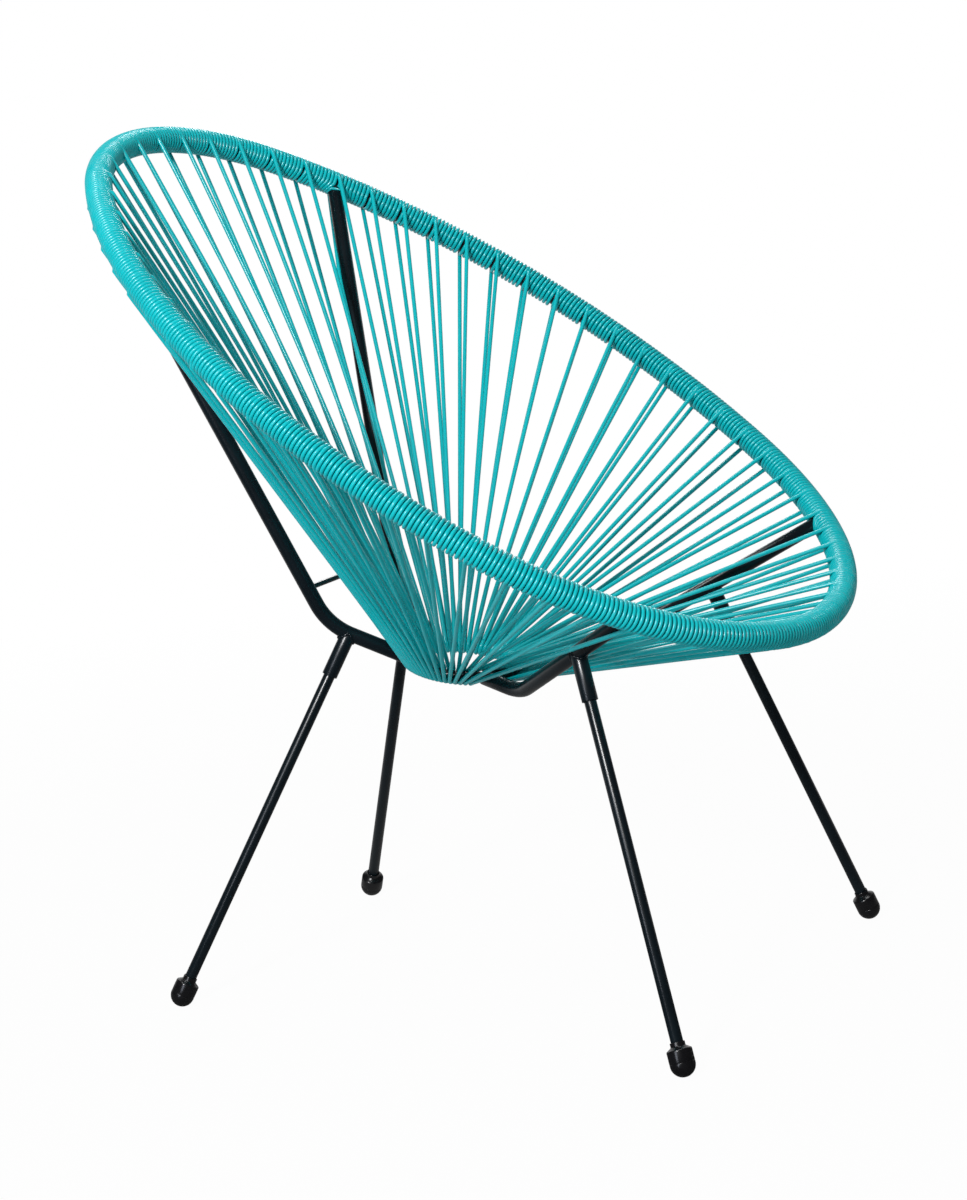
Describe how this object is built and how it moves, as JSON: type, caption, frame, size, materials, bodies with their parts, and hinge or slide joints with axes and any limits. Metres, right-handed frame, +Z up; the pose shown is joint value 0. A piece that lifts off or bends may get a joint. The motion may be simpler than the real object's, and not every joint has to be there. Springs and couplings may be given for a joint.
{
  "type": "acapulco chair",
  "caption": "Low lounge chair: a tilted oval hoop and hub ring strung with cord as a bowl seat, on four splayed rod legs.",
  "frame": {"origin": "on the floor, below the middle of the chair's box", "axes": "+Z up, -Y the way the sitter faces, X across; left is -X"},
  "size_m": [0.7204, 0.7466, 0.8954],
  "materials": {
    "cord": "glossy extruded PVC",
    "frame": "satin black powder coat",
    "foot": "smooth moulded black plastic"
  },
  "bodies": {
    "root": {"frame_hoop": "frame", "hub_ring": "frame", "rear_cross_bar": "frame", "rear_tube_left": "frame", "front_tube_left": "frame", "rear_tube_right": "frame", "front_tube_right": "frame", "leg_socket_rear_left": "frame", "leg_rear_left": "frame", "foot_cap_rear_left": "foot", "leg_socket_rear_right": "frame", "leg_rear_right": "frame", "foot_cap_rear_right": "foot", "leg_socket_front_left": "frame", "leg_front_left": "frame", "foot_cap_front_left": "foot", "leg_socket_front_right": "frame", "leg_front_right": "frame", "foot_cap_front_right": "foot", "cord_web_front_right": "cord", "cord_web_front_middle": "cord", "cord_web_front_left": "cord", "cord_web_left_1": "cord", "cord_web_left_2": "cord", "cord_web_left_3": "cord", "cord_web_left_4": "cord", "cord_web_rear_left": "cord", "cord_web_rear_middle": "cord", "cord_web_rear_right": "cord", "cord_web_right_4": "cord", "cord_web_right_3": "cord", "cord_web_right_2": "cord", "cord_web_right_1": "cord"}
  },
  "joints": []
}
